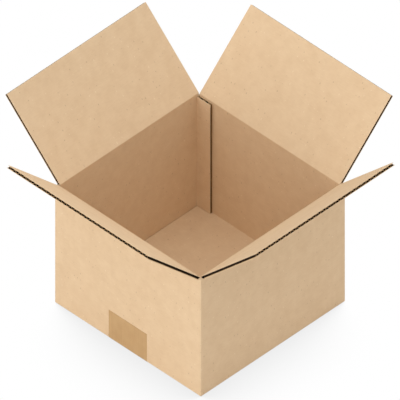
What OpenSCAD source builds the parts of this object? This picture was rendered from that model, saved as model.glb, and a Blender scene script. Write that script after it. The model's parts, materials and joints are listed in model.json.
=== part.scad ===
// Open shipping carton: a regular slotted box folded from one corrugated blank, its bottom
// seam closed by packing tape and its four top flaps leaning open.
// Origin at the middle of the base, +Z up, front wall towards -Y, millimetres.

/* [Carton] */
// Clear width inside, left wall to right wall
inner_w = 178; // [140:1:260]
// Clear depth inside, front wall to back wall
inner_d = 178; // [140:1:260]
// Clear height inside, floor to the underside of the closed flaps
inner_h = 126; // [100:1:200]

/* [Board] */
// Thickness of the corrugated board
board_t = 3.2; // [2.6:0.1:4.4]
// Thickness of each flat liner of the board
liner_t = 0.4; // [0.25:0.05:0.5]
// Thickness of the wavy medium between the liners
medium_t = 0.35; // [0.2:0.05:0.45]
// Length of one wave of the medium
flute_pitch = 6.4; // [5:0.1:8]
// Part of each wave where the medium lies glued along a liner
glue_share = 0.14; // [0.1:0.01:0.25]
// Outside radius of a folded edge
fold_r = 0.8; // [0.6:0.1:2.4]
// Depth of the open groove along an edge cut lengthwise between two flutes
groove_depth = 1.6; // [0.8:0.1:2]

/* [Top flaps] */
// Lean of the open flaps from upright, outwards
flap_lean = 45; // [0:1:120]
// Gap left where two opposite closed flaps meet
flap_seam = 0.6; // [0.4:0.1:3]
// Gap between a flap's side edge and the wall beside it
slot_gap = 0.4; // [0.3:0.1:3]
// Length of crushed board beside a crease, where the flutes are closed
crush_len = 7; // [6:0.5:12]
// Half of the gap across the bevels of a crease, measured upright
crease_gap = 0.15; // [0.15:0.01:0.2]
// Distance of the front and back flaps' fold line outside the wall's face
inner_fold_out = 0.05; // [0.05:0.01:0.15]
// Height of that fold line above the outer face of its closed flap
inner_fold_lift = 0.45; // [0.2:0.05:0.45]
// Distance of the left and right flaps' fold line outside the wall's face
outer_fold_out = 0.55; // [0.55:0.01:0.7]
// Depth of that fold line below the outer face of its closed flap
outer_fold_sink = 0.35; // [0:0.05:0.35]
// Gap between two flaps that lie on each other
layer_gap = 0.3; // [0.2:0.05:0.6]

/* [Bottom flaps] */
// Gap at the bottom seam, where two opposite flaps meet
bottom_seam = 1; // [0.4:0.1:3]
// Gap between a lower bottom flap's side edge and the fold beside it
bottom_slot = 0.6; // [0.4:0.1:3]

/* [Glue tab] */
// Width of the tab glued inside the back wall
tab_w = 17; // [12:0.5:40]
// Gap between the tab's ends and the flaps above and below
tab_gap = 0.4; // [0.3:0.1:4]
// Depth of the open flutes in the tab's top end
tab_flute_depth = 14; // [6:1:30]
// Depth of the slot at the glued corner, below the tops of the other corner posts
joint_slot = 5; // [0.5:0.5:8]

/* [Tape] */
// Width of the packing tape
tape_w = 48; // [36:1:75]
// Height of the tape's ends on the front and back walls
tape_leg = 33; // [15:1:60]
// Thickness of the tape
tape_t = 0.15; // [0.1:0.05:0.3]

/* [Hidden] */

kraft_colour = "#d9b88f";
tape_colour = "#c29e6c";

// Arc and wave resolution
fold_fn = 32;
wave_steps = 6;
// Overlap that makes joined volumes one and cuts run clear
join = 0.5;

outer_w = inner_w + 2 * board_t;
outer_d = inner_d + 2 * board_t;

// Levels, from the floor up: tape, lower flaps, upper flaps, closed top flaps in two layers
base_z = tape_t;
upper_z = base_z + board_t + layer_gap;
floor_z = upper_z + board_t;
inner_top_z = floor_z + inner_h + board_t;
outer_top_z = inner_top_z + layer_gap + board_t;

// Fold lines: the first pair's lies above its closed flaps and the second pair's within them,
// so that all four creases stand at about one height while the box is open
inner_crease_z = inner_top_z + inner_fold_lift;
outer_crease_z = outer_top_z - outer_fold_sink;
// Tips of the bevelled walls under the creases; the corner posts end with the side ones
front_tip_z = inner_crease_z - crease_gap - inner_fold_out;
side_tip_z = outer_crease_z - crease_gap - outer_fold_out;

// Every flap reaches half of the shorter span, so the closed pair over it meets
short_span = min(outer_w, outer_d);
flap_reach = (short_span - flap_seam) / 2;
front_flap_w = inner_w - 2 * slot_gap;
side_flap_w = inner_d - 2 * slot_gap;
bottom_len = (short_span - bottom_seam) / 2;

// Medium of the board: a cosine wave that touches both liners
wave_amp = (board_t - 2 * liner_t - medium_t) / 2;
channel_half = flute_pitch * (1 - glue_share) / 2;

// Height of the medium's middle line at a distance u from a trough, and its slope there
function wave(u) = board_t / 2 - wave_amp * cos(360 * u / flute_pitch);
function wave_slope(u) = wave_amp * 2 * PI / flute_pitch * sin(360 * u / flute_pitch);
// Upper face of the medium, half its thickness off the middle line square to the wave
function wave_top(u) = wave(u) + medium_t / 2 * sqrt(1 + pow(wave_slope(u), 2));
function flute_count(width) = floor((width - 2 * groove_depth) / flute_pitch);

// One air channel: the space over a trough of the medium, up to the liner
module channel() {
    floor_line = [
        for (i = [0 : wave_steps])
            let (u = channel_half * (2 * i / wave_steps - 1)) [u, wave_top(u)]
    ];
    liner_line = [[channel_half, board_t - liner_t], [-channel_half, board_t - liner_t]];
    polygon(concat(floor_line, liner_line));
}

// Cross-section of all the channels of a strip of board, centred, from its outer face up
module channels(width) {
    count = flute_count(width);
    left = -count * flute_pitch / 2;
    for (i = [0 : count - 1])
        translate([left + (i + 0.5) * flute_pitch, 0]) channel();
    for (i = [1 : count - 1])
        translate([left + i * flute_pitch, board_t]) mirror([0, 1]) channel();
}

// Groove between the liners along an edge at u = 0 that the cut opened, board towards +u
module edge_groove() {
    translate([-join, liner_t]) square([groove_depth + join, board_t - 2 * liner_t]);
}

// Section of a strip of board with both long edges cut between two flutes
module board_section(width) {
    difference() {
        translate([-width / 2, 0]) square([width, board_t]);
        channels(width);
        translate([-width / 2, 0]) edge_groove();
        translate([width / 2, 0]) mirror([1, 0]) edge_groove();
    }
}

// A flap standing upright with its fold line on the X axis, outer face at Y = face:
// a bevelled, crushed root and open flutes from there to the cut end
module upright_flap(width, length, face) {
    root_line = [
        [face, face + crease_gap],
        [face + board_t, face + board_t + crease_gap],
        [face + board_t, crush_len],
        [face, crush_len]
    ];
    rotate([90, 0, 90]) linear_extrude(width, center = true) polygon(root_line);
    translate([0, face, crush_len]) linear_extrude(length - crush_len) board_section(width);
}

// A flap of the front or back wall, which folds in first, leant outwards from its fold line
module inner_flap(facing) {
    color(kraft_colour)
        rotate(facing)
            translate([0, -outer_d / 2 - inner_fold_out, inner_crease_z])
                rotate([flap_lean, 0, 0])
                    upright_flap(front_flap_w, flap_reach + inner_fold_out, inner_fold_lift);
}

// A flap of the left or right wall, which folds over those, leant outwards from its fold line
module outer_flap(facing) {
    color(kraft_colour)
        rotate(facing)
            translate([0, -outer_w / 2 - outer_fold_out, outer_crease_z])
                rotate([flap_lean, 0, 0])
                    upright_flap(side_flap_w, flap_reach + outer_fold_out, -outer_fold_sink);
}

module front_flap() {
    inner_flap(0);
}

module back_flap() {
    inner_flap(180);
}

module right_flap() {
    outer_flap(90);
}

module left_flap() {
    outer_flap(-90);
}

// Square corner to cut away outside an arc of radius r, corner at the origin, arc inside +X +Y
module round_off(r) {
    difference() {
        translate([-join, -join]) square(r + join);
        translate([r, r]) circle(r, $fn = fold_fn);
    }
}

// Plan of the four walls: three folded corners, and at the back left one the back wall's
// cut end, which lies over the fold of the glue tab
module wall_plan() {
    difference() {
        square([outer_w, outer_d], center = true);
        square([inner_w, inner_d], center = true);
        translate([-outer_w / 2, -outer_d / 2]) round_off(fold_r);
        translate([outer_w / 2, -outer_d / 2]) mirror([1, 0]) round_off(fold_r);
        translate([outer_w / 2, outer_d / 2]) rotate(180) round_off(fold_r);
        translate([-outer_w / 2, inner_d / 2]) intersection() {
            mirror([0, 1]) round_off(fold_r);
            translate([-join, -fold_r]) square([fold_r + join, fold_r]);
        }
        translate([-outer_w / 2, inner_d / 2]) edge_groove();
    }
}

// Cut along the top of the wall that faces -Y, so that its crease lets the flap fold in: a bevel
// down from the wall's tip at its outer face, and all above it; the inner face is at Y = 0
module crease_bevel(width, tip_z) {
    over_z = side_tip_z + 2 * join;
    cut_line = [
        [join, tip_z - board_t - join],
        [-board_t - join, tip_z + join],
        [-board_t - join, over_z],
        [join, over_z]
    ];
    rotate([90, 0, 90]) linear_extrude(width, center = true) polygon(cut_line);
}

// Lower bottom flap under the wall that faces -Y, from the wall's face to the seam
module lower_flap() {
    side_edge = inner_d / 2 - board_t - layer_gap - bottom_slot;
    translate([-side_edge, -outer_w / 2, base_z]) cube([2 * side_edge, bottom_len, board_t]);
}

// Upper bottom flap of the wall that faces -Y: it climbs from the wall's foot on to the lower flaps
module upper_flap() {
    climb = upper_z - base_z;
    flap_line = [
        [-outer_d / 2, base_z],
        [-inner_d / 2, base_z],
        [-inner_d / 2 + climb, upper_z],
        [-outer_d / 2 + bottom_len, upper_z],
        [-outer_d / 2 + bottom_len, floor_z],
        [-outer_d / 2, floor_z]
    ];
    rotate([90, 0, 90]) linear_extrude(inner_w - 2 * slot_gap, center = true) polygon(flap_line);
}

// Glue tab: folded from the left wall round the back left corner and glued to the back wall,
// with open flutes in its top end and an open groove along its free edge
module glue_tab() {
    tab_h = inner_h - 2 * tab_gap;
    translate([-inner_w / 2, inner_d / 2 - board_t, floor_z + tab_gap])
        difference() {
            translate([-join, 0, 0]) cube([tab_w + join, board_t + join, tab_h]);
            translate([tab_w / 2, 0, tab_h - tab_flute_depth])
                linear_extrude(tab_flute_depth + join) channels(tab_w);
            translate([tab_w, 0, -join])
                linear_extrude(tab_h + 2 * join) mirror([1, 0]) edge_groove();
        }
}

// Rounding along the bottom fold of the wall that faces -Y
module bottom_round(width, reach) {
    translate([0, -reach / 2, base_z])
        rotate([90, 0, 90]) linear_extrude(width + 2 * join, center = true) round_off(fold_r);
}

// The four walls: bevelled under the flaps, the front and back ones lower than the side ones,
// with posts at the corners, the one at the glue tab cut lower
module walls() {
    difference() {
        translate([0, 0, base_z]) linear_extrude(side_tip_z - base_z) wall_plan();
        for (turn = [0, 180])
            rotate(turn) translate([0, -inner_d / 2, 0]) crease_bevel(inner_w, front_tip_z);
        for (turn = [90, 270])
            rotate(turn) translate([0, -inner_w / 2, 0]) crease_bevel(inner_d, side_tip_z);
        translate([-outer_w / 2 - join, inner_d / 2, side_tip_z - joint_slot])
            cube([board_t + join, board_t + join, joint_slot + join]);
    }
}

// The blank folded up: walls, glue tab and two crossed layers of bottom flaps in one sheet
module carton_body() {
    color(kraft_colour) difference() {
        union() {
            walls();
            glue_tab();
            for (turn = [90, 270])
                rotate(turn) lower_flap();
            for (turn = [0, 180])
                rotate(turn) upper_flap();
        }
        for (turn = [0, 180])
            rotate(turn) bottom_round(outer_w, outer_d);
        for (turn = [90, 270])
            rotate(turn) bottom_round(outer_d, outer_w);
    }
}

// Outline of the carton's foot seen from the side, with round bottom folds, grown by a margin
module foot_outline(margin) {
    half = outer_d / 2 + margin;
    r = fold_r + margin;
    difference() {
        translate([-half, base_z - margin]) square([2 * half, tape_leg + margin - base_z]);
        translate([-half, base_z - margin]) round_off(r);
        translate([half, base_z - margin]) mirror([1, 0]) round_off(r);
    }
}

// Tape along the bottom seam, turned up at both ends on the front and back walls
module bottom_tape() {
    color(tape_colour)
        rotate([90, 0, 90])
            linear_extrude(tape_w, center = true)
                difference() {
                    foot_outline(tape_t);
                    foot_outline(0);
                    translate([-outer_d / 2, tape_leg]) square([outer_d, join]);
                }
}

carton_body();
bottom_tape();
front_flap();
back_flap();
left_flap();
right_flap();
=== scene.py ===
"""Looks of an open shipping carton of corrugated board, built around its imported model.

Every sheet of paper, board or film is closed between two grids of points: the two liners and the
wavy medium of each flap, the folded strip of the walls, the glue tab, the bottom flaps, the liners
that cross each crease and the film of the tape. Sizes are in millimetres until a mesh is made of
them.
"""

import json
import math

import bpy
import numpy as np
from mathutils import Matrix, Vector


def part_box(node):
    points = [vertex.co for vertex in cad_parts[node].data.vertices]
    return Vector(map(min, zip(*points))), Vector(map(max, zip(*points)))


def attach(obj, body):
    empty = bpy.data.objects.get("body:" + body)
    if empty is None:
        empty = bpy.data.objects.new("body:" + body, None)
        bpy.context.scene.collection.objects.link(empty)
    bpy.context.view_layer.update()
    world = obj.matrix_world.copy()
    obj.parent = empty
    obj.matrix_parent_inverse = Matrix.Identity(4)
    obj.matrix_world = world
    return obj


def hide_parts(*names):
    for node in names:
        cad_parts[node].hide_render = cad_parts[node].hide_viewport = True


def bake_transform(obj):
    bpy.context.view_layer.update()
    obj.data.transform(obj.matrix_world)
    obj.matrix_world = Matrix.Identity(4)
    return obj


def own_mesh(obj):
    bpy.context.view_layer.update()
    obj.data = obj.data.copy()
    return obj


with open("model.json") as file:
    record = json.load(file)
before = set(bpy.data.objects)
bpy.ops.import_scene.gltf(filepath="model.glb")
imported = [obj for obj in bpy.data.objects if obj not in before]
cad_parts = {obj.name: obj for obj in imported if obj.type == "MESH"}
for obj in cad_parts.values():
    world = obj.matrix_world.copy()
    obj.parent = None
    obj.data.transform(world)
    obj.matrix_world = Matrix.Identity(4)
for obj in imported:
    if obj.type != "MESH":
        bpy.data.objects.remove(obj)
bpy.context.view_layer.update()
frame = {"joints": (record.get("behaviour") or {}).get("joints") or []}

# Units and directions
MM = 0.001
UP = np.array([0.0, 0.0, 1.0])

# Corrugated board: its thickness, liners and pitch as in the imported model, its medium 0.05 thinner
BOARD = 3.2
LINER = 0.4
MEDIUM = 0.3
FLUTE_PITCH = 6.4
# How flat the crests of the flutes are: close to 0 the wave is a pure cosine
FLUTE_SQUARENESS = 1.3
# How far the medium stays back from a cut edge
CUT_BACK = 0.2
# How far a liner sinks between two glue lines
WASHBOARD = 0.04
# How far the slitting knife presses each liner in at a flap's end, and over which length
END_PINCH = 0.15
PINCH_REACH = 2.5
# How far the inner liner's paper is from the outer one's, so that their specks differ
INNER_SHEET = 1000.0

# Grids: points to a flute on the medium and on a liner, and steps round a fold
FLUTE_SAMPLES = 16
LINER_SAMPLES = 8
ARC_STEPS = 8
# Rows of a flap's grids from its crease to its cut end, closer together towards the end
FLAP_ROWS = 1 - np.linspace(1, 0, 16)[None, :] ** 3
# Edges that turn more than this are drawn sharp
SHARP_EDGE = math.radians(35)

# Folds: the flaps' lean, a corner's outer and inner radius, and a crease's gap and radius
LEAN = math.radians(45)
FOLD_R = 0.8
INNER_FOLD_R = 0.25
CREASE_GAP = 0.15
CREASE_R = 0.9
# Width of the steep step in a wall's top, between the bevel under the flap and a corner post
POST_STEP = 0.03
# Depth of the open groove along an edge cut between two flutes
GROOVE = 1.6

# Bottom of the carton: the gap between its layers, its seam, and the clearance beside the lower
# and the upper flaps
LAYER_GAP = 0.3
BOTTOM_SEAM = 1.0
BOTTOM_SLOT = 0.6
SLOT_GAP = 0.4

# Glue tab inside the back wall: its width, its glue, and its clearance above the floor and below
# the closed back flap
TAB_W = 17.0
TAB_GLUE = 0.05
TAB_GAP = 0.4
# Clearance of the tab's top end below the closed side flap, and how much thinner it is crushed
TAB_TOP_GAP = 0.15
TAB_CRUSH = 0.35
# Depth of the slot at the glued corner below the other corner posts
JOINT_SLOT = 5.0

# Camera: the photograph's parallel view
VIEW_AZIMUTH = math.radians(44.66)
VIEW_ELEVATION = math.radians(41.0)
PIXELS_PER_MM = 1.1136
PICTURE_PIXELS = 400
VIEW_CENTRE_Z = 121.05
CAMERA_DISTANCE = 1500.0
CLIP_DISTANCE = 10000.0

# Light: its warm white, the room's strength, and each lamp's strength, width in degrees and direction
LIGHT_COLOUR = "#fffaee"
ROOM_LIGHT = 0.34
LAMPS = [
    ("lamp_above", 0.78, 90, (0, 0, 1)),
    ("lamp_in_front", 1.05, 90, (0, -1, 0.9)),
    ("lamp_behind", 1.2, 90, (0, 1, 0.5)),
    ("lamp_right", 0.15, 60, (1, 0, 1.2)),
    ("lamp_low_in_front", 0.74, 25, (0, -1, 0.07)),
]
# What the camera sees behind the object
WHITE = (1.0, 1.0, 1.0, 1.0)

# Places of a Mix node's colour sockets: the colours at factor 0 and 1, and the mixed one
MIX_FROM, MIX_TO, MIXED = 6, 7, 2


def corners_mm(node):
    """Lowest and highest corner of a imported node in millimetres."""
    low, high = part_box(node)
    return np.array(low) / MM, np.array(high) / MM


body_low, body_high = corners_mm("carton_body")
tape_low, tape_high = corners_mm("bottom_tape")
HALF_W = body_high[0]
HALF_D = body_high[1]
BASE_Z = body_low[2]
FOOT_Z = BASE_Z + FOLD_R
UPPER_Z = BASE_Z + BOARD + LAYER_GAP
FLOOR_Z = UPPER_Z + BOARD
BOTTOM_LEN = min(HALF_W, HALF_D) - BOTTOM_SEAM / 2
TAPE_T = tape_high[1] - HALF_D


def wall_frame(name, inward, half, half_along):
    """One wall: its middle at the outer face, its direction along the strip and the way in."""
    inward = np.array([*inward, 0.0])
    along = np.array([inward[1], -inward[0], 0.0])
    return {
        "name": name,
        "inward": inward,
        "along": along,
        "place": -half * inward,
        "half": half_along,
        "inner_half": half_along - BOARD,
    }


# The walls in the order of the folded strip, from the glue tab round to the cut end
WALLS = [
    wall_frame("left", (1, 0), HALF_W, HALF_D),
    wall_frame("front", (0, 1), HALF_D, HALF_W),
    wall_frame("right", (-1, 0), HALF_W, HALF_D),
    wall_frame("back", (0, -1), HALF_D, HALF_W),
]


def add_fold(wall):
    """Adds to a wall its fold line and the flap on it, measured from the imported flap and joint.
    At this lean the flap's reach and rise, divided by the lean's sine, add up to twice its length
    plus one board, and differ by twice the depth of its outer face plus one board."""
    body = wall["name"] + "_flap"
    joint = next(j for j in frame["joints"] if j["child"] == body)
    low, high = corners_mm(body)
    line = np.array(joint["pos_m"]) / MM
    outermost = np.where(wall["inward"] > 0, low, high) @ np.abs(wall["inward"])
    reach = abs(outermost - line @ np.abs(wall["inward"]))
    rise = high[2] - line[2]
    both = (reach + rise) / math.sin(LEAN)
    apart = (rise - reach) / math.sin(LEAN)
    wall["body"] = body
    wall["joint"] = joint["name"]
    wall["line"] = line
    wall["out"] = -(line - wall["place"]) @ wall["inward"]
    wall["flap_len"] = (both - BOARD) / 2
    wall["flap_face"] = (apart - BOARD) / 2
    wall["flap_w"] = (high - low) @ np.abs(wall["along"])
    wall["tip_z"] = line[2] - CREASE_GAP - wall["out"]


for number, one_wall in enumerate(WALLS):
    one_wall["strip"] = sum(2 * before["half"] for before in WALLS[:number])
    add_fold(one_wall)
WALL = {one_wall["name"]: one_wall for one_wall in WALLS}
POST_Z = WALL["left"]["tip_z"]
JOINT_Z = POST_Z - JOINT_SLOT


def on_wall(wall, u, q, z):
    """Points of a wall: u along the strip, q in from the outer face, z up."""
    u, q, z = np.broadcast_arrays(u, q, z)
    flat = u[..., None] * wall["along"] + q[..., None] * wall["inward"] + z[..., None] * UP
    return wall["place"] + flat


def on_flap(wall, u, w, v):
    """Points of a flap: u along its fold line, w square to it towards the inner face and v up
    the flap, all turned outwards by the lean."""
    u, w, v = np.broadcast_arrays(u, w, v)
    across = w * math.cos(LEAN) - v * math.sin(LEAN)
    height = w * math.sin(LEAN) + v * math.cos(LEAN)
    flat = u[..., None] * wall["along"] + across[..., None] * wall["inward"] + height[..., None] * UP
    return wall["line"] + flat


def on_paper(wall, u, v, side=0):
    """Place on the flat blank in millimetres: u along the strip of walls and v up it. side is 1 for
    the inner liner, which is a sheet of its own."""
    return wall["strip"] + u + side * INNER_SHEET, v


def flute_wave(u, crest, cut):
    """Middle line of the medium, from -1 at one liner to 1 at the other: a cosine along the board
    with its peaks flattened by a tanh, crest at u = crest. From the last crest to u = cut it is
    half a wave of that length, because the knife has pushed it across to the other liner."""
    past = (np.abs(u) - crest) / (cut - crest) / 2
    turns = np.where(np.abs(u) > crest, past, (u - crest) / FLUTE_PITCH)
    return np.tanh(FLUTE_SQUARENESS * np.cos(2 * np.pi * turns)) / math.tanh(FLUTE_SQUARENESS)


def sunk(u, crest):
    """Sinking of a liner between its glue lines: a raised cosine, zero on the crests."""
    return WASHBOARD * (1 - np.cos(2 * np.pi * (u - crest) / FLUTE_PITCH)) / 2


def pinched(to_end):
    """How far each liner of a flap is pressed in at a distance from its cut end: a parabola that
    rises over the last millimetres."""
    return END_PINCH * np.clip(1 - to_end / PINCH_REACH, 0, 1) ** 2


def quads(grid):
    """Faces of a grid of point numbers."""
    return np.stack([grid[:-1, :-1], grid[1:, :-1], grid[1:, 1:], grid[:-1, 1:]], -1).reshape(-1, 4)


def slab(upper, lower, skins, sheet):
    """Closed sheet of paper between two grids of points: both faces and the rim that joins their
    borders, turned so that its volume is positive. skins are the finishes of upper face, lower
    face and rim, and sheet holds each point's place on the flat paper in millimetres."""
    rows, columns = upper.shape[:2]
    grid = np.arange(rows * columns).reshape(rows, columns)
    border = np.concatenate([grid[:-1, 0], grid[-1, :-1], grid[:0:-1, -1], grid[0, :0:-1]])
    after = np.roll(border, -1)
    below = grid.size
    faces = [
        quads(grid),
        quads(grid)[:, ::-1] + below,
        np.stack([after, border, border + below, after + below], -1),
    ]
    finish = np.concatenate([np.full(len(f), s) for f, s in zip(faces, skins)])
    faces = np.concatenate(faces)
    points = np.concatenate([upper.reshape(-1, 3), lower.reshape(-1, 3)])
    a, b, c, d = (points[faces[:, k]] for k in range(4))
    volume = np.einsum("ij,ij->", a + b + c + d, np.cross(c - a, d - b))
    if volume < 0:
        faces = faces[:, ::-1]
    flat = np.stack(np.broadcast_arrays(*sheet), -1).reshape(-1, 2)
    return {"points": points, "faces": faces, "finish": finish, "sheet": np.tile(flat, (2, 1))}


def in_scene(name, data):
    """An object for a mesh, a lamp or a camera, linked into the scene at the origin."""
    made = bpy.data.objects.new(name, data)
    bpy.context.scene.collection.objects.link(made)
    return made


def piece(name, shells, materials):
    """One object at the origin from a list of closed sheets, smooth apart from its cut edges."""
    starts = np.cumsum([0] + [len(s["points"]) for s in shells[:-1]])
    points = np.concatenate([s["points"] for s in shells]) * MM
    faces = np.concatenate([s["faces"] + start for s, start in zip(shells, starts)])
    mesh = bpy.data.meshes.new(name)
    mesh.from_pydata(points.tolist(), [], faces.tolist())
    mesh.polygons.foreach_set("material_index", np.concatenate([s["finish"] for s in shells]))
    mesh.polygons.foreach_set("use_smooth", np.ones(len(faces), bool))
    paper = mesh.attributes.new("paper_mm", "FLOAT_VECTOR", "POINT")
    flat = np.concatenate([s["sheet"] for s in shells])
    paper.data.foreach_set("vector", np.pad(flat, ((0, 0), (0, 1))).astype(np.float32).ravel())
    mesh.set_sharp_from_angle(angle=SHARP_EDGE)
    mesh.update()
    for material in materials:
        mesh.materials.append(material)
    made = in_scene(name, mesh)
    return made


def linear(code):
    """Linear colour of an sRGB hex value."""
    srgb = np.array([int(code[k:k + 2], 16) for k in (1, 3, 5)]) / 255
    flat = np.where(srgb <= 0.04045, srgb / 12.92, ((srgb + 0.055) / 1.055) ** 2.4)
    return (*flat.tolist(), 1.0)


def add(tree, kind, inputs, **settings):
    """Adds a node with its settings, and gives each input a value or a link."""
    made = tree.nodes.new("ShaderNode" + kind)
    for name, value in settings.items():
        setattr(made, name, value)
    for name, value in inputs.items():
        if isinstance(value, bpy.types.NodeSocket):
            tree.links.new(value, made.inputs[name])
        else:
            made.inputs[name].default_value = value
    return made


def empty_material(name):
    """A material with nothing but its output, and the tree and output node."""
    material = bpy.data.materials.new(name)
    material.use_nodes = True
    material.node_tree.nodes.clear()
    return material, material.node_tree, add(material.node_tree, "OutputMaterial", {})


def kraft_liner(name, pale, deep, shive, fleck):
    """Kraft linerboard, pressed smooth on the machine: matt brown paper, clouded where the pulp
    lies thicker, with fibres along the sheet and a few dark shives and pale flecks."""
    # Real fibres, tooth and specks are several times finer, and are drawn this coarse to show
    cloud_mm, tooth_mm = 11.0, 0.9
    fibre_mm, fibre_stretch, fibre_share = 1.3, 5.0, 0.5
    # Specks: their spacing and stretch, the largest one and its soft rim as parts of the spacing,
    # how strongly they colour the paper, how many places stay bare and how many specks are dark
    speck_mm, speck_stretch, speck_size, speck_rim = 3.9, 2.2, 0.12, 0.042
    speck_strength, bare_share, dark_share = 0.4, 0.5, 0.6
    material, tree, out = empty_material(name)
    place = add(tree, "TexCoord", {}).outputs["Object"]
    sheet = add(tree, "Attribute", {}, attribute_name="paper_mm").outputs["Vector"]
    cloud = add(tree, "TexNoise", {
        "Vector": place,
        "Scale": 1 / (cloud_mm * MM),
        "Detail": 4.0,
        "Roughness": 0.6,
    })
    drawn = add(tree, "Mapping", {"Vector": sheet, "Scale": (1 / fibre_stretch, 1.0, 1.0)})
    fibre = add(tree, "TexNoise", {"Vector": drawn.outputs[0], "Scale": 1 / fibre_mm, "Detail": 2.0})
    tones = add(tree, "Math", {
        0: fibre.outputs["Fac"],
        1: fibre_share,
        2: cloud.outputs["Fac"],
    }, operation="MULTIPLY_ADD")
    tone = add(tree, "MapRange", {"Value": tones.outputs[0], "From Min": 0.53, "From Max": 0.97})
    paper = add(tree, "Mix", {
        "Factor": tone.outputs[0],
        MIX_FROM: linear(deep),
        MIX_TO: linear(pale),
    }, data_type="RGBA")
    strewn = add(tree, "Mapping", {"Vector": sheet, "Scale": (1.0, 1 / speck_stretch, 1.0)})
    cells = add(tree, "TexVoronoi", {
        "Vector": strewn.outputs[0],
        "Scale": 1 / speck_mm,
    }, voronoi_dimensions="2D")
    chance = add(tree, "SeparateColor", {"Color": cells.outputs["Color"]})
    size = add(tree, "MapRange", {
        "Value": chance.outputs["Red"],
        "From Min": bare_share,
        "To Max": speck_size,
    })
    near = add(tree, "Math", {0: size.outputs[0], 1: cells.outputs["Distance"]}, operation="SUBTRACT")
    mark = add(tree, "MapRange", {
        "Value": near.outputs[0],
        "From Max": speck_rim,
        "To Max": speck_strength,
    })
    bright = add(tree, "Math", {0: chance.outputs["Green"], 1: dark_share}, operation="GREATER_THAN")
    kind = add(tree, "Mix", {
        "Factor": bright.outputs[0],
        MIX_FROM: linear(shive),
        MIX_TO: linear(fleck),
    }, data_type="RGBA")
    flecked = add(tree, "Mix", {
        "Factor": mark.outputs[0],
        MIX_FROM: paper.outputs[MIXED],
        MIX_TO: kind.outputs[MIXED],
    }, data_type="RGBA")
    tooth = add(tree, "TexNoise", {"Vector": place, "Scale": 1 / (tooth_mm * MM), "Detail": 2.0})
    bump = add(tree, "Bump", {"Height": tooth.outputs["Fac"], "Strength": 0.12, "Distance": 0.1 * MM})
    shader = add(tree, "BsdfPrincipled", {
        "Base Color": flecked.outputs[MIXED],
        "Roughness": 0.86,
        "Specular IOR Level": 0.25,
        "Normal": bump.outputs[0],
    })
    tree.links.new(shader.outputs[0], out.inputs["Surface"])
    return material


def fluting_paper_and_painted_shade(name, pale, deep):
    """Semi-chemical fluting paper, formed hot between toothed rolls: rough and quite matt, with streaks
    that run along the flutes. Given near-black colours it is painted shade, put on the inside of the
    flutes and on the liners' hidden faces, where only shade falls. Given pale ones it is the paper's own
    colour where it is cut."""
    streak_mm, streak_stretch = 0.8, 12.0
    material, tree, out = empty_material(name)
    sheet = add(tree, "Attribute", {}, attribute_name="paper_mm").outputs["Vector"]
    drawn = add(tree, "Mapping", {"Vector": sheet, "Scale": (1.0, 1 / streak_stretch, 1.0)})
    streak = add(tree, "TexNoise", {"Vector": drawn.outputs[0], "Scale": 1 / streak_mm, "Detail": 3.0})
    colour = add(tree, "Mix", {
        "Factor": streak.outputs["Fac"],
        MIX_FROM: linear(deep),
        MIX_TO: linear(pale),
    }, data_type="RGBA")
    shader = add(tree, "BsdfPrincipled", {
        "Base Color": colour.outputs[MIXED],
        "Roughness": 0.95,
        "Specular IOR Level": 0.1,
    })
    tree.links.new(shader.outputs[0], out.inputs["Surface"])
    return material


def packing_film(name, pale, deep):
    """Oriented polypropylene film with brown glue, unrolled under tension: smooth and slightly
    glossy, with faint streaks along the roll and clouds where the glue wets the paper."""
    streak_mm, streak_stretch, cloud_mm, wave_mm = 1.6, 30.0, 9.0, 14.0
    material, tree, out = empty_material(name)
    place = add(tree, "TexCoord", {}).outputs["Object"]
    sheet = add(tree, "Attribute", {}, attribute_name="paper_mm").outputs["Vector"]
    drawn = add(tree, "Mapping", {"Vector": sheet, "Scale": (1 / streak_stretch, 1.0, 1.0)})
    streak = add(tree, "TexNoise", {"Vector": drawn.outputs[0], "Scale": 1 / streak_mm, "Detail": 2.0})
    cloud = add(tree, "TexNoise", {"Vector": place, "Scale": 1 / (cloud_mm * MM), "Detail": 3.0})
    tones = add(tree, "Math", {0: streak.outputs["Fac"], 1: cloud.outputs["Fac"]}, operation="ADD")
    tone = add(tree, "MapRange", {"Value": tones.outputs[0], "From Min": 0.7, "From Max": 1.3})
    colour = add(tree, "Mix", {
        "Factor": tone.outputs[0],
        MIX_FROM: linear(deep),
        MIX_TO: linear(pale),
    }, data_type="RGBA")
    gloss = add(tree, "MapRange", {"Value": cloud.outputs["Fac"], "To Min": 0.3, "To Max": 0.42})
    wave = add(tree, "TexNoise", {"Vector": place, "Scale": 1 / (wave_mm * MM), "Detail": 1.0})
    bump = add(tree, "Bump", {"Height": wave.outputs["Fac"], "Strength": 0.3, "Distance": 0.2 * MM})
    shader = add(tree, "BsdfPrincipled", {
        "Base Color": colour.outputs[MIXED],
        "Roughness": gloss.outputs[0],
        "IOR": 1.49,
        "Normal": bump.outputs[0],
    })
    tree.links.new(shader.outputs[0], out.inputs["Surface"])
    return material


# Papers of the board and film of the tape, with the place of each finish in its list. The second paper
# is near-black painted shade for the inside of the flutes and the liners' hidden faces, not the paper's
# own colour.
PAPERS = [
    kraft_liner("kraft_linerboard", "#e4cbae", "#ddc2a4", "#8a6848", "#fff2de"),
    # Painted shade: near-black paper where the flutes and the space between the liners lie in shade
    fluting_paper_and_painted_shade("fluting_paper_and_painted_shade", "#2e2117", "#1c130c"),
    fluting_paper_and_painted_shade("cut_fluting_paper", "#d0ac82", "#a58058"),
]
# The second finish is painted shade for faces inside the board
KRAFT, FLUTE_IN_PAINTED_SHADE, CUT = 0, 1, 2
FILMS = [packing_film("polypropylene_packing_tape", "#c5a171", "#bc9665")]
FILM = 0


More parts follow.
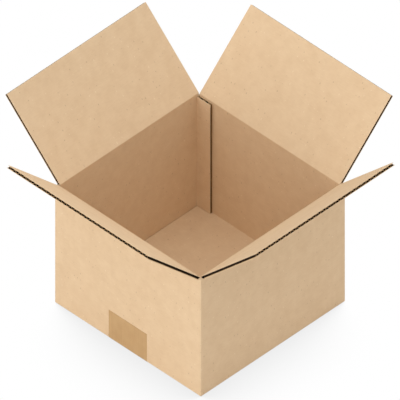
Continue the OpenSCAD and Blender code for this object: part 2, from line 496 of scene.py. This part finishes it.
def flap_sheet(wall, u, w, length, pressed=0.0):
    """Points of one face of a flap's paper at depth w: rows from the bevelled root, as far up as
    it is deep plus the crease's gap, to the cut end. pressed moves them square to the flap."""
    root = w + CREASE_GAP
    return on_flap(wall, u, w + pressed, root + (length - root) * FLAP_ROWS)


def liner(wall, side, width, length):
    """One liner of a flap: a flat sheet over the flap with a bevelled root, its seen face sunk a
    little between the glue lines. side is 0 for the outer liner and 1 for the inner one."""
    u = np.linspace(-width / 2, width / 2, int(width / FLUTE_PITCH * LINER_SAMPLES))[:, None]
    way_in = 1 - 2 * side
    face = wall["flap_face"] + side * BOARD
    pressed = pinched(length * (1 - FLAP_ROWS)) * way_in
    seen = flap_sheet(wall, u, face + sunk(u, side * FLUTE_PITCH / 2) * way_in, length, pressed)
    hidden = flap_sheet(wall, u, face + LINER * way_in, length, pressed)
    sheet = on_paper(wall, u, wall["line"][2] + length * FLAP_ROWS, side)
    # The liner's hidden face, inside the board, takes the painted shade
    return slab(seen, hidden, (KRAFT, FLUTE_IN_PAINTED_SHADE, KRAFT), sheet)


def medium_lines(u, crest, cut, thickness):
    """Both faces of the medium above the outer liner's outside: the wave between the liners, half
    the paper's thickness to each side, square to its slope."""
    room = (thickness - 2 * LINER - MEDIUM) / 2
    middle = thickness / 2 + room * flute_wave(u, crest, cut)
    slope = np.gradient(middle, u.ravel(), axis=0)
    half = MEDIUM / 2 * np.sqrt(1 + slope ** 2)
    return middle + half, middle - half


def flap_medium(wall, width, length):
    """The medium of a flap: the wave carried from the bevelled root to the cut end."""
    count = int((width - FLUTE_PITCH / 2) / FLUTE_PITCH)
    reach = width / 2 - CUT_BACK
    u = np.linspace(-reach, reach, count * FLUTE_SAMPLES + 1)[:, None]
    pressed = pinched(length * (1 - FLAP_ROWS))
    lines = medium_lines(u, count * FLUTE_PITCH / 2, reach, BOARD - 2 * pressed)
    faces = [flap_sheet(wall, u, wall["flap_face"] + pressed + line, length) for line in lines]
    # Both faces of the medium take the painted shade, and its cut rim takes the paper's pale colour
    return slab(*faces, (FLUTE_IN_PAINTED_SHADE, FLUTE_IN_PAINTED_SHADE, CUT), on_paper(wall, u, length * FLAP_ROWS))


def make_flap(wall):
    """A top flap: two liners with the fluted medium between them, open at its cut edges."""
    width, length = wall["flap_w"], wall["flap_len"]
    shells = [liner(wall, side, width, length) for side in (0, 1)]
    shells.append(flap_medium(wall, width, length))
    made = piece(wall["body"] + "_board", shells, PAPERS)
    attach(made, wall["body"])
    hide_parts(wall["body"])


def crease_lines(wall):
    """Corners of a crease in the wall's own plane, (in from the fold line, above it): the wall's
    inner and outer edge, the flap's inner and outer root, and the point where the inner faces
    meet."""
    inner_q, outer_q = wall["out"] + BOARD, wall["out"]
    turned = np.array([[math.cos(LEAN), math.sin(LEAN)], [-math.sin(LEAN), math.cos(LEAN)]])
    inner_w, outer_w = wall["flap_face"] + BOARD, wall["flap_face"]
    rise = (inner_w - inner_q * math.cos(LEAN)) / math.sin(LEAN)
    return {
        "wall_inner": np.array([inner_q, -CREASE_GAP - inner_q]),
        "wall_outer": np.array([outer_q, -CREASE_GAP - outer_q]),
        "flap_inner": np.array([inner_w, inner_w + CREASE_GAP]) @ turned,
        "flap_outer": np.array([outer_w, outer_w + CREASE_GAP]) @ turned,
        "meet": np.array([inner_q, rise]),
    }


def crease_points(wall, u, line):
    """Points of a crease's section line carried along the fold."""
    flat = u[:, None, None] * wall["along"] + line[None, :, :1] * wall["inward"] + line[None, :, 1:] * UP
    return wall["line"] + flat


def inner_crease(wall):
    """The inner liner across a crease: up the wall's inner face, round the fold on an arc and up
    the flap's inner face, with the liner's thickness behind it."""
    steps = 5
    at = crease_lines(wall)
    tangent = CREASE_R * math.tan(LEAN / 2)
    bend = np.linspace(0, LEAN, ARC_STEPS + 1)[:, None]
    centre = at["meet"] + np.array([-CREASE_R, -tangent])
    arc = centre + CREASE_R * np.hstack([np.cos(bend), np.sin(bend)])
    straight = np.linspace(0, 1, steps + 1)[:, None]
    low = at["wall_inner"] + (arc[0] - at["wall_inner"]) * straight[:-1]
    high = arc[-1] + (at["flap_inner"] - arc[-1]) * straight[1:]
    seen = np.concatenate([low, arc, high])
    tilt = np.concatenate([np.zeros((steps, 1)), bend, np.full((steps, 1), LEAN)])
    behind = seen - LINER * np.hstack([np.cos(tilt), np.sin(tilt)])
    return seen, behind, at["wall_inner"], at["flap_inner"]


def outer_crease(wall):
    """The outer liner across a crease: from the wall's outer edge to the flap's outer root."""
    steps = 4
    at = crease_lines(wall)
    straight = np.linspace(0, 1, steps + 1)[:, None]
    seen = at["wall_outer"] + (at["flap_outer"] - at["wall_outer"]) * straight
    behind = seen + np.array([LINER, 0.0])
    return seen, behind, at["wall_outer"], at["flap_outer"]


def make_creases(wall):
    """The two liners that join a flap to its wall, each laid across the crease at the flap's lean."""
    columns = 12
    u = np.linspace(-wall["flap_w"] / 2, wall["flap_w"] / 2, columns)
    for side, section in (("outer", outer_crease(wall)), ("inner", inner_crease(wall))):
        seen, behind, first, last = section
        half = np.linalg.norm(last - first) / 2
        run = wall["line"][2] + np.linspace(-half, half, len(seen))
        sheet = on_paper(wall, u[:, None], run[None, :], side == "inner")
        faces = [crease_points(wall, u, line) for line in (seen, behind)]
        # The liner's back face takes the painted shade
        shell = slab(*faces, (KRAFT, FLUTE_IN_PAINTED_SHADE, KRAFT), sheet)
        made = piece(f"{wall['name']}_{side}_crease", [shell], PAPERS)
        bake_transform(made)


def corner_turn(half, depth, radius):
    """A wall's corner in plan, columns of (along, in): a quarter arc to the next wall."""
    turn = np.linspace(0, math.pi / 2, ARC_STEPS + 1)
    return np.stack([half - radius + radius * np.sin(turn), depth + radius - radius * np.cos(turn)], -1)


def wall_columns(wall):
    """Plan of one wall as columns of (along, in) for the outer and the inner face: the flat
    stretch under the flap with the board's washboard, then the corner to the next wall. The first
    wall starts with the fold of the glue tab, and the last one stops short of its cut end."""
    edge = wall["inner_half"] - INNER_FOLD_R
    columns = int(2 * edge / FLUTE_PITCH * LINER_SAMPLES)
    u = np.linspace(-edge + POST_STEP, edge - POST_STEP, columns)
    u = np.concatenate([[-edge + POST_STEP / 2], u, [edge - POST_STEP / 2]])
    outer = np.stack([u, sunk(u, 0)], -1)
    inner = np.stack([u, BOARD - sunk(u, FLUTE_PITCH / 2)], -1)
    if wall is WALLS[-1]:
        end = np.array([[wall["half"] - GROOVE, 0.0]])
        return np.vstack([outer, end]), np.vstack([inner, end + [0.0, BOARD]])
    outer = np.vstack([outer, corner_turn(wall["half"], 0.0, FOLD_R)])
    inner = np.vstack([inner, corner_turn(wall["inner_half"], BOARD, INNER_FOLD_R)])
    if wall is WALLS[0]:
        back = wall["inner_half"] - TAB_GLUE
        start = corner_turn(back, 0.0, FOLD_R)[::-1] * [-1, 1]
        across = np.linspace(-back, -back + FOLD_R, len(start))
        keep = outer[:, 0] > -back + FOLD_R + POST_STEP
        outer = np.vstack([start, outer[keep]])
        inner = np.vstack([np.stack([across, np.full(len(across), BOARD)], -1), inner[keep]])
    return outer, inner


def post_tops(wall, bevel):
    """Tops of the corner posts at a wall's start and end: all one height, but the glued corner is
    cut lower, and the left wall starts there with its bevel."""
    if wall is WALLS[0]:
        return bevel, POST_Z
    if wall is WALLS[-1]:
        return POST_Z, JOINT_Z
    return POST_Z, POST_Z


def strip_of_walls():
    """The four walls as one folded strip: the plan's columns carried from the crease at the top,
    bevelled for the flap and flat at the corner posts, to the round fold at the bottom, where a
    quarter arc pulls the outer face in."""
    rows = 12
    run = np.linspace(0, 1, rows)[None, :]
    bend = np.linspace(0, math.pi / 2, ARC_STEPS + 1)[1:]
    foot = FOOT_Z - FOLD_R * np.sin(bend)
    pull = np.concatenate([np.zeros(rows), FOLD_R - FOLD_R * np.cos(bend)])
    outer, inner, sheets = [], [], []
    for wall in WALLS:
        plans = wall_columns(wall)
        across = plans[1] - plans[0]
        inwards = across / np.linalg.norm(across, axis=1, keepdims=True)
        flap_edge = wall["inner_half"] - INNER_FOLD_R - POST_STEP * 2 / 3
        for grids, plan, share in zip((outer, inner), plans, (1.0, 0.0)):
            bevel = wall["tip_z"] - np.clip(plan[:, 1], 0, BOARD)
            posts = np.where(plan[:, 0] < 0, *post_tops(wall, bevel))
            top = np.where(np.abs(plan[:, 0]) < flap_edge, bevel, posts)[:, None]
            straight = top + (FOOT_Z - top) * run
            z = np.hstack([straight, np.broadcast_to(foot, (len(plan), ARC_STEPS))])
            placed = plan[:, None, :] + share * pull[None, :, None] * inwards[:, None, :]
            grids.append(on_wall(wall, placed[..., 0], placed[..., 1], z))
        sheets.append(np.broadcast_arrays(*on_paper(wall, plans[0][:, :1], z)))
    sheet = [np.concatenate(parts) for parts in zip(*sheets)]
    return slab(np.concatenate(outer), np.concatenate(inner), (KRAFT, KRAFT, KRAFT), sheet)


def sheet_on_wall(wall, u, near, far, z, skins, side=0):
    """A sheet of paper along a wall, between two depths in from the wall's outer face."""
    faces = [on_wall(wall, u, q, z) for q in (near, far)]
    return slab(*faces, skins, on_paper(wall, u, z, side))


def cut_end():
    """The back wall's cut end over the fold of the glue tab: its two liners with a gap between."""
    rows = 6
    wall = WALL["back"]
    u = np.array([[wall["half"] - GROOVE], [wall["half"]]])
    z = np.linspace(FOOT_Z, JOINT_Z, rows)[None, :]
    depths = ((0.0, LINER), (BOARD, BOARD - LINER))
    # The liners' inner faces take the painted shade
    return [sheet_on_wall(wall, u, *pair, z, (KRAFT, FLUTE_IN_PAINTED_SHADE, KRAFT)) for pair in depths]


def bottom_flaps():
    """The two crossed layers of bottom flaps: flat sheets from each wall to the seam, the upper
    pair climbing from the wall's foot on to the lower one."""
    climb_rows, flat_rows = 4, 8
    climb = UPPER_Z - BASE_Z
    sloped = np.linspace(BOARD, BOARD + climb, climb_rows)
    level = np.linspace(BOARD + climb, BOTTOM_LEN, flat_rows)[1:]
    q = np.concatenate([sloped, level])[None, :]
    shells = []
    for wall in WALLS:
        lower = wall["name"] in ("left", "right")
        edge = BOARD + LAYER_GAP + BOTTOM_SLOT if lower else SLOT_GAP
        half = wall["inner_half"] - edge
        u = np.linspace(-half, half, int(2 * half / FLUTE_PITCH * LINER_SAMPLES))[:, None]
        rise = 0 * q if lower else np.minimum(q - BOARD, climb)
        top = BASE_Z + BOARD if lower else FLOOR_Z
        upper = on_wall(wall, u, q, top - sunk(u, 0))
        under = on_wall(wall, u, q, BASE_Z + rise)
        shells.append(slab(upper, under, (KRAFT, KRAFT, KRAFT), on_paper(wall, u, -q)))
    return shells


def glue_tab(low, high, crush):
    """The tab glued inside the back wall, between two heights: a liner against the wall, the
    fluted medium and the liner that faces the inside, open at its free edge and its ends. The
    knife has cut it a third of a flute past a crest. crush is how much thinner it is at its top
    than at its foot."""
    rows = 12
    wall = WALL["back"]
    run = np.linspace(0, 1, rows)[None, :]
    z = low + (high - low) * run
    glued = BOARD + TAB_GLUE
    thickness = BOARD - TAB_GLUE - crush * run
    seen = glued + thickness
    ends = wall["inner_half"] - np.array([[0.0], [TAB_W]])
    depths = ((glued, glued + LINER), (seen, seen - LINER))
    shells = [sheet_on_wall(wall, ends, *pair, z, (KRAFT, CUT, KRAFT), 1) for pair in depths]
    cut = TAB_W - CUT_BACK
    out = np.linspace(0, cut, int(TAB_W / FLUTE_PITCH * FLUTE_SAMPLES))[:, None]
    crest = cut - FLUTE_PITCH / 3
    above, below = medium_lines(out, crest, crest + FLUTE_PITCH / 2, thickness)
    u = wall["inner_half"] - out
    # The medium's faces take the painted shade, and its cut rim takes the paper's pale colour
    shells.append(sheet_on_wall(wall, u, glued + above, glued + below, z, (FLUTE_IN_PAINTED_SHADE, FLUTE_IN_PAINTED_SHADE, CUT)))
    return shells


def closed_underside(wall):
    """Height of a flap's inner face when it is folded in flat."""
    return wall["line"][2] - wall["flap_face"] - BOARD


def make_carton():
    """The folded blank: walls, glue tab and bottom flaps in one piece, with the tab's last
    millimetres apart, because they are crushed when the back flap folds in over them."""
    tab_low = FLOOR_Z + TAB_GAP
    tab_high = closed_underside(WALL["back"]) - TAB_GAP
    tab_top = closed_underside(WALL["left"]) - TAB_TOP_GAP
    shells = [strip_of_walls(), *cut_end(), *bottom_flaps(), *glue_tab(tab_low, tab_high, 0.0)]
    made = piece("carton_blank", shells, PAPERS)
    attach(made, "carton")
    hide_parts("carton_body")
    top = piece("glue_tab_top", glue_tab(tab_high, tab_top, TAB_CRUSH), PAPERS)
    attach(top, "carton")
    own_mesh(top)


def make_tape():
    """The tape: a film laid along the bottom seam, round both bottom folds and up the front and
    back walls. Its path is two straight legs, two quarter arcs and the bottom line, each offset
    from the folds' middle line by the fold's radius."""
    leg_rows, base_rows, columns = 10, 60, 25
    half = HALF_D - FOLD_R
    turn = np.linspace(0, math.pi / 2, ARC_STEPS + 1)
    leg = np.linspace(tape_high[2], FOOT_Z, leg_rows)[:-1]
    base = np.linspace(-half, half, base_rows)[1:-1]
    # Each stretch as the tilt of its outer side, from front over down to back, and its y and z
    stretches = [
        np.broadcast_arrays(0.0, -half, leg),
        np.broadcast_arrays(turn, -half, FOOT_Z),
        np.broadcast_arrays(math.pi / 2, base, FOOT_Z),
        np.broadcast_arrays(math.pi - turn[::-1], half, FOOT_Z),
        np.broadcast_arrays(math.pi, half, leg[::-1]),
    ]
    tilt, y, z = (np.concatenate(parts) for parts in zip(*stretches))
    away = np.stack([np.zeros_like(tilt), -np.cos(tilt), -np.sin(tilt)], -1)
    line = np.stack([np.zeros_like(y), y, z], -1)
    x = np.linspace(tape_low[0], tape_high[0], columns)
    across = x[None, :, None] * np.array([1.0, 0.0, 0.0])
    laid = line + FOLD_R * away
    under = laid[:, None, :] + across
    over = (line + (FOLD_R + TAPE_T) * away)[:, None, :] + across
    steps = np.linalg.norm(np.diff(laid, axis=0), axis=1)
    length = np.concatenate([[0.0], np.cumsum(steps)])
    shell = slab(over, under, (FILM, FILM, FILM), (length[:, None], x[None, :]))
    made = piece("bottom_tape_film", [shell], FILMS)
    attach(made, "carton")
    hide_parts("bottom_tape")


def seen_directly(tree):
    """Socket that is 1 where a surface or the room shows to the camera, in a gloss or through
    something clear, and 0 where it only lights the object."""
    path = add(tree, "LightPath", {})
    shown = path.outputs["Is Camera Ray"]
    for ray in ("Is Glossy Ray", "Is Transmission Ray"):
        shown = add(tree, "Math", {0: shown, 1: path.outputs[ray]}, operation="MAXIMUM").outputs[0]
    return shown


def make_floor():
    """A wide white floor. Light from the object falls on it as on white paper, and to the camera it
    glows white, with a painted shadow that is darker where the object near it hides the light that comes
    from behind."""
    # Width, how near the object has to be, and the painted shadow's depth and how fast it fades
    size, reach, depth, softness = 6000.0, 100.0, 1.65, 4.0
    # Direction from which the painted shadow takes its light, and the rays that look for the object
    painted_shadow_from, rays = (-0.66, 0.66, 0.37), 64
    mesh = bpy.data.meshes.new("floor")
    corners = np.array([[-1, -1, 0], [1, -1, 0], [1, 1, 0], [-1, 1, 0]]) * size * MM / 2
    mesh.from_pydata(corners.tolist(), [], [[0, 1, 2, 3]])
    material, tree, out = empty_material("white_floor_with_painted_shadow")
    paper = add(tree, "BsdfDiffuse", {"Color": linear("#f6f6f6")})
    painted_shadow_side = add(tree, "CombineXYZ", dict(zip("XYZ", painted_shadow_from)))
    open_sky = add(tree, "AmbientOcclusion", {
        "Distance": reach * MM,
        "Normal": painted_shadow_side.outputs[0],
    }, samples=rays)
    # Painted shadow: the hidden share of the sky round the point, softened and taken off the white
    # emission
    hidden = add(tree, "Math", {0: 1.0, 1: open_sky.outputs["AO"]}, operation="SUBTRACT")
    soft = add(tree, "Math", {0: hidden.outputs[0], 1: softness}, operation="POWER")
    glow_under_painted_shadow = add(tree, "Math", {0: soft.outputs[0], 1: -depth, 2: 1.0}, operation="MULTIPLY_ADD")
    seen = add(tree, "Emission", {"Color": WHITE, "Strength": glow_under_painted_shadow.outputs[0]})
    mixed = add(tree, "MixShader", {
        "Fac": seen_directly(tree),
        1: paper.outputs[0],
        2: seen.outputs[0],
    })
    tree.links.new(mixed.outputs[0], out.inputs["Surface"])
    mesh.materials.append(material)
    floor = in_scene("floor", mesh)


def make_light():
    """A white room all round the object and the broad soft lamps in it."""
    world = bpy.data.worlds.new("white_room")
    bpy.context.scene.world = world
    world.use_nodes = True
    tree = world.node_tree
    tree.nodes.clear()
    room = add(tree, "Background", {"Color": linear(LIGHT_COLOUR), "Strength": ROOM_LIGHT})
    backdrop = add(tree, "Background", {"Color": WHITE, "Strength": 1.0})
    mixed = add(tree, "MixShader", {
        "Fac": seen_directly(tree),
        1: room.outputs[0],
        2: backdrop.outputs[0],
    })
    out = add(tree, "OutputWorld", {})
    tree.links.new(mixed.outputs[0], out.inputs["Surface"])
    for name, strength, width, towards in LAMPS:
        lamp = bpy.data.lights.new(name, "SUN")
        lamp.energy = strength
        lamp.color = linear(LIGHT_COLOUR)[:3]
        lamp.angle = math.radians(width)
        holder = in_scene(name, lamp)
        holder.rotation_euler = Vector(towards).to_track_quat("Z", "Y").to_euler()


def make_camera():
    """The photograph's parallel view, from the right of the front and above."""
    flat = math.cos(VIEW_ELEVATION)
    across, ahead = math.sin(VIEW_AZIMUTH) * flat, math.cos(VIEW_AZIMUTH) * flat
    back = Vector((across, -ahead, math.sin(VIEW_ELEVATION)))
    camera = bpy.data.cameras.new("camera")
    camera.type = "ORTHO"
    camera.ortho_scale = PICTURE_PIXELS / PIXELS_PER_MM * MM
    camera.clip_end = CLIP_DISTANCE * MM
    holder = in_scene("camera", camera)
    holder.location = Vector((0, 0, VIEW_CENTRE_Z * MM)) + back * CAMERA_DISTANCE * MM
    holder.rotation_euler = back.to_track_quat("Z", "Y").to_euler()
    bpy.context.scene.camera = holder


make_carton()
make_tape()
for one_wall in WALLS:
    make_flap(one_wall)
    make_creases(one_wall)
make_floor()
make_light()
make_camera()
bpy.context.scene.view_settings.view_transform = "Standard"
